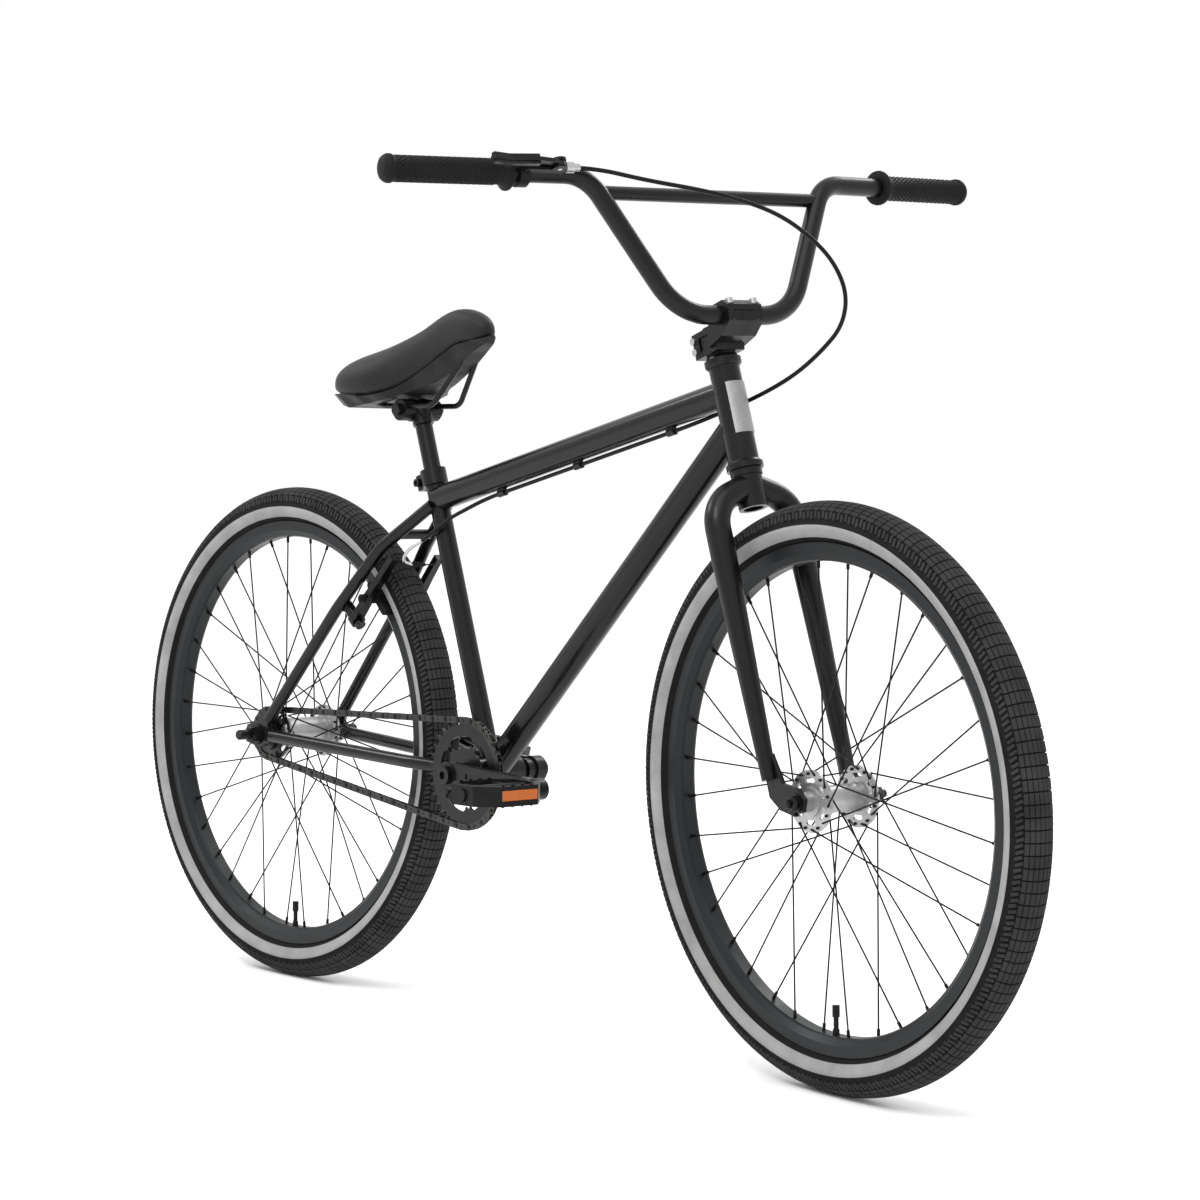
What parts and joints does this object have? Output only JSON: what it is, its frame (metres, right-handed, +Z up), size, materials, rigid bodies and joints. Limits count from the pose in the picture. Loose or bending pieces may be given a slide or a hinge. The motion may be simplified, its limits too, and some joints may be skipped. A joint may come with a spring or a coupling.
{
  "type": "bmx bike",
  "caption": "Rigid BMX cruiser bicycle with a high-rise bar, platform pedals, a single-speed chain drive and a rear rim brake.",
  "frame": {"origin": "on the ground, midway between the two axles, in the plane of the frame", "axes": "+X forward, +Y to the rider's left, +Z up; the drive side is -Y"},
  "size_m": [1.6693, 0.8462, 1.0574],
  "materials": {
    "frame_paint": "gloss black with a fine metallic fleck",
    "bar_paint": "satin black",
    "satin_silver": "satin silver",
    "steel": "plain steel",
    "chain_steel": "oiled dark steel",
    "rim_paint": "satin black with a dark blue-grey cast",
    "tyre_rubber": "dark grey moulded rubber with a pale side band",
    "black_rubber": "matt black rubber",
    "black_resin": "moulded black resin",
    "grey_resin": "moulded grey resin",
    "saddle_vinyl": "padded black vinyl",
    "amber": "amber prismatic reflector",
    "badge": "brushed blank plate",
    "alloy": "dark polished alloy"
  },
  "bodies": {
    "frame": {"head_tube": "frame_paint", "top_tube": "frame_paint", "down_tube": "frame_paint", "seat_tube": "frame_paint", "bottom_bracket_shell": "frame_paint", "chainstays": "frame_paint", "seatstays": "frame_paint", "stay_bridges": "frame_paint", "cable_guides": "frame_paint", "head_badge": "badge", "headset_cups": "bar_paint", "seat_collar": "bar_paint", "bottom_bracket_cups": "bar_paint", "rear_axle": "steel", "chain": "chain_steel", "rear_brake_cable": "black_rubber", "brake_noodle": "satin_silver", "brake_boot": "black_rubber"},
    "saddle": {"seatpost": "bar_paint", "saddle_clamp": "bar_paint", "saddle_rails": "bar_paint", "saddle_base": "grey_resin", "saddle_cover": "saddle_vinyl"},
    "steering": {"fork_steerer": "bar_paint", "fork_legs": "bar_paint", "stem_body": "bar_paint", "stem_cap": "bar_paint", "stem_bolts": "satin_silver", "headset_top_cap": "bar_paint", "handlebar": "bar_paint", "handlebar_crossbar": "bar_paint", "grips": "black_rubber", "brake_lever_bracket": "black_resin", "lever_adjuster": "satin_silver", "front_axle": "steel", "brake_cable_loop": "black_rubber"},
    "front_wheel": {"front_tyre": "tyre_rubber", "front_rim": "rim_paint", "front_hub": "satin_silver", "front_spokes": "steel", "front_valve": "black_rubber"},
    "rear_wheel": {"rear_tyre": "tyre_rubber", "rear_rim": "rim_paint", "rear_hub": "satin_silver", "rear_spokes": "steel", "rear_valve": "black_rubber"},
    "freewheel": {"freewheel_cog": "chain_steel"},
    "crank": {"crank_spindle": "steel", "crank_arms": "bar_paint", "chainring": "bar_paint", "pedal_axles": "steel"},
    "pedal_right": {"pedal_right": "black_resin", "pedal_reflectors_right": "amber"},
    "pedal_left": {"pedal_left": "black_resin", "pedal_reflectors_left": "amber"},
    "brake_lever": {"brake_lever_blade": "alloy"},
    "brake_arm_right": {"brake_arm_right": "alloy", "brake_pad_right": "alloy"},
    "brake_arm_left": {"brake_arm_left": "alloy", "brake_pad_left": "alloy"}
  },
  "joints": [
    {"name": "steering", "type": "hinge", "parent": "frame", "child": "steering", "pos_m": [0.47312, 0, 0.3208], "axis": [-0.309, 0, 0.9511], "range_deg": [-64, 76], "deforming": ["brake_cable_loop"]},
    {"name": "front_wheel_spin", "type": "hinge", "parent": "steering", "child": "front_wheel", "pos_m": [0.50433, -0.00345, 0.33094], "axis": [0.0994, 0.9945, 0.0323], "continuous": true},
    {"name": "rear_wheel_spin", "type": "hinge", "parent": "frame", "child": "rear_wheel", "pos_m": [-0.5045, 0, 0.331], "axis": [0, 1, 0], "continuous": true},
    {"name": "crank_spin", "type": "hinge", "parent": "frame", "child": "crank", "pos_m": [-0.09048, 0, 0.311], "axis": [0, 1, 0], "continuous": true, "deforming": ["chain"]},
    {"name": "freewheel_spin", "type": "hinge", "parent": "frame", "child": "freewheel", "pos_m": [-0.5045, 0, 0.331], "axis": [0, 1, 0], "continuous": true},
    {"name": "pedal_right_spin", "type": "hinge", "parent": "crank", "child": "pedal_right", "pos_m": [0.07448, -0.0685, 0.3075], "axis": [0, 1, 0], "continuous": true},
    {"name": "pedal_left_spin", "type": "hinge", "parent": "crank", "child": "pedal_left", "pos_m": [-0.25545, 0.0685, 0.3145], "axis": [0, 1, 0], "continuous": true},
    {"name": "brake_lever_pull", "type": "hinge", "parent": "steering", "child": "brake_lever", "pos_m": [0.28241, -0.22766, 1.0285], "axis": [0.3049, -0.0393, -0.9516], "range_deg": [0, 10], "stiffness_Nm_per_rad": 1.2, "springref_deg": -17.19},
    {"name": "brake_arm_right_swing", "type": "hinge", "parent": "frame", "child": "brake_arm_right", "pos_m": [-0.3214, -0.04, 0.49205], "axis": [0.7478, 0, -0.6639], "range_deg": [-1.8, 0]},
    {"name": "brake_arm_left_swing", "type": "hinge", "parent": "frame", "child": "brake_arm_left", "pos_m": [-0.3214, 0.04, 0.49205], "axis": [0.7478, 0, -0.6639], "range_deg": [0, 1.8]},
    {"name": "seatpost_height", "type": "slide", "parent": "frame", "child": "saddle", "axis": [-0.3206, 0, 0.9472], "range_m": [-0.055, 0.08]}
  ],
  "couplings": [
    {"joint": "freewheel_spin", "follows": "crank_spin", "ratio": 2.0625},
    {"joint": "brake_arm_right_swing", "follows": "brake_lever_pull", "ratio": -0.18},
    {"joint": "brake_arm_left_swing", "follows": "brake_lever_pull", "ratio": 0.18}
  ]
}
